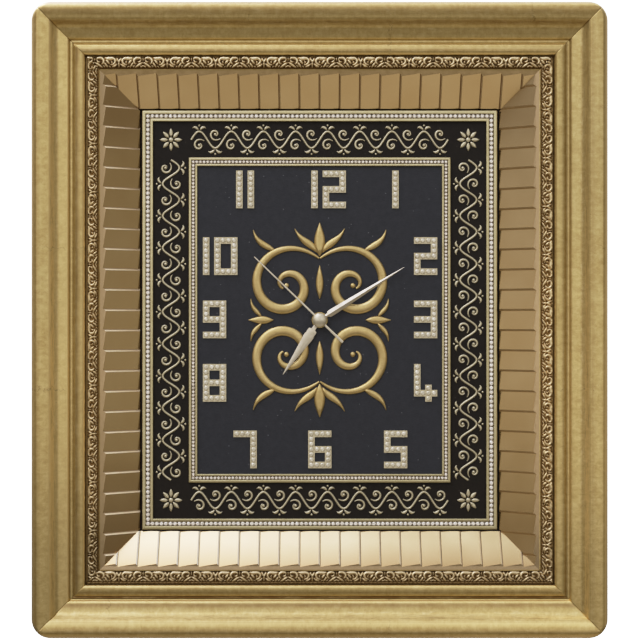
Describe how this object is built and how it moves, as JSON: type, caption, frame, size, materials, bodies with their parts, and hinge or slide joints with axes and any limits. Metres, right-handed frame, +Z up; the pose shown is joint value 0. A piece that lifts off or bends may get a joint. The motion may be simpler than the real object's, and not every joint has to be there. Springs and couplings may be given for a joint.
{
  "type": "wall clock",
  "caption": "Rectangular wall clock in a deep gilded shadow-box frame with stepped gold slats, stone-set borders and numerals, a dark dial and a geared quartz movement.",
  "frame": {"origin": "centre of the keyhole of the hanger plate, on the wall plane", "axes": "+Z up, +Y into the wall so the dial faces -Y, +X to the right of a person facing the dial"},
  "size_m": [0.48, 0.062, 0.53],
  "materials": {
    "gilt_frame": "antique gilt foil, satin, fine cross grain",
    "gilt_ornament": "pressed relief, gilt with dark hollows",
    "slat_gold": "polished gold foil",
    "bead_gold": "metallised pale gold",
    "stone": "faceted foil-backed stones",
    "border_black": "black matt foil",
    "dial_black": "charcoal, fine grained",
    "relief_gold": "satin gold",
    "board": "hardboard",
    "zinc": "zinc plated",
    "brass": "turned",
    "case_plastic": "moulded, fine spark grain",
    "knob_plastic": "moulded",
    "rubber": "matt",
    "battery_jacket": "plain jacket",
    "spring_contact": "nickel plated",
    "pcb": "solder mask",
    "epoxy": "cast",
    "can": "drawn",
    "copper": "enamelled wire",
    "wheel_plastic": "moulded",
    "wheel_brass": "turned",
    "core_steel": "stamped",
    "magnet": "sintered",
    "hand_silver": "bright silver"
  },
  "bodies": {
    "clock_case": {"frame_rail_top": "gilt_frame", "frame_rail_bottom": "gilt_frame", "frame_rail_left": "gilt_frame", "frame_rail_right": "gilt_frame", "corner_nails": "zinc", "ornament_strip_top": "gilt_ornament", "ornament_strip_bottom": "gilt_ornament", "ornament_strip_left": "gilt_ornament", "ornament_strip_right": "gilt_ornament", "slat_liner_top": "slat_gold", "slat_liner_bottom": "slat_gold", "slat_liner_left": "slat_gold", "slat_liner_right": "slat_gold", "base_board": "board", "board_screws": "zinc", "hanger_plate": "zinc", "hanger_screws": "zinc", "border_panel": "border_black", "panel_screws": "zinc", "outer_bead_frame": "bead_gold", "outer_stone_chain": "stone", "border_relief": "relief_gold", "dial_panel": "dial_black", "inner_bead_frame": "bead_gold", "inner_stone_chain": "stone", "centre_relief": "relief_gold", "numeral_plates": "bead_gold", "numeral_stones": "stone", "movement_front_case": "case_plastic", "movement_rear_cover": "case_plastic", "movement_gasket": "rubber", "neck_washer": "brass", "neck_nut": "brass", "battery_cell": "battery_jacket", "positive_contact": "spring_contact", "negative_contact": "spring_contact", "circuit_board": "pcb", "driver_chip": "epoxy", "quartz_can": "can", "coil_bobbin": "wheel_plastic", "coil_winding": "copper", "coil_core": "core_steel", "stator_plate": "core_steel"},
    "second_train": {"second_wheel": "wheel_plastic", "second_hand": "hand_silver", "second_hand_cap": "hand_silver"},
    "minute_train": {"centre_wheel": "wheel_brass", "minute_hand": "hand_silver"},
    "hour_train": {"hour_wheel": "wheel_brass", "hour_hand": "hand_silver"},
    "minute_wheel_body": {"minute_wheel": "wheel_plastic"},
    "third_wheel_body": {"third_wheel": "wheel_plastic"},
    "step_wheel_body": {"step_wheel": "wheel_plastic"},
    "rotor_body": {"rotor_magnet": "magnet", "rotor_pinion": "wheel_plastic"},
    "knob_body": {"setting_knob": "knob_plastic"}
  },
  "joints": [
    {"name": "second_spin", "type": "hinge", "parent": "clock_case", "child": "second_train", "pos_m": [0, -0.012, -0.235], "axis": [0, 1, 0], "continuous": true},
    {"name": "minute_spin", "type": "hinge", "parent": "clock_case", "child": "minute_train", "pos_m": [0, -0.012, -0.235], "axis": [0, 1, 0], "continuous": true},
    {"name": "hour_spin", "type": "hinge", "parent": "clock_case", "child": "hour_train", "pos_m": [0, -0.012, -0.235], "axis": [0, 1, 0], "continuous": true},
    {"name": "minute_wheel_spin", "type": "hinge", "parent": "clock_case", "child": "minute_wheel_body", "pos_m": [0.01039, -0.012, -0.229], "axis": [0, 1, 0], "continuous": true},
    {"name": "third_wheel_spin", "type": "hinge", "parent": "clock_case", "child": "third_wheel_body", "pos_m": [-0.01, -0.012, -0.22794], "axis": [0, 1, 0], "continuous": true},
    {"name": "step_wheel_spin", "type": "hinge", "parent": "clock_case", "child": "step_wheel_body", "pos_m": [0.00197, -0.012, -0.22256], "axis": [0, 1, 0], "continuous": true},
    {"name": "rotor_spin", "type": "hinge", "parent": "clock_case", "child": "rotor_body", "pos_m": [-0.00422, -0.012, -0.21371], "axis": [0, 1, 0], "continuous": true},
    {"name": "knob_spin", "type": "hinge", "parent": "clock_case", "child": "knob_body", "pos_m": [0.0145, -0.012, -0.21772], "axis": [0, 1, 0], "continuous": true}
  ],
  "couplings": [
    {"joint": "minute_spin", "follows": "second_spin", "ratio": 0.016667},
    {"joint": "hour_spin", "follows": "second_spin", "ratio": 0.0013889},
    {"joint": "minute_wheel_spin", "follows": "second_spin", "ratio": -0.0055556},
    {"joint": "knob_spin", "follows": "second_spin", "ratio": 0.016667},
    {"joint": "third_wheel_spin", "follows": "second_spin", "ratio": -0.13333},
    {"joint": "step_wheel_spin", "follows": "second_spin", "ratio": -6},
    {"joint": "rotor_spin", "follows": "second_spin", "ratio": 30}
  ]
}
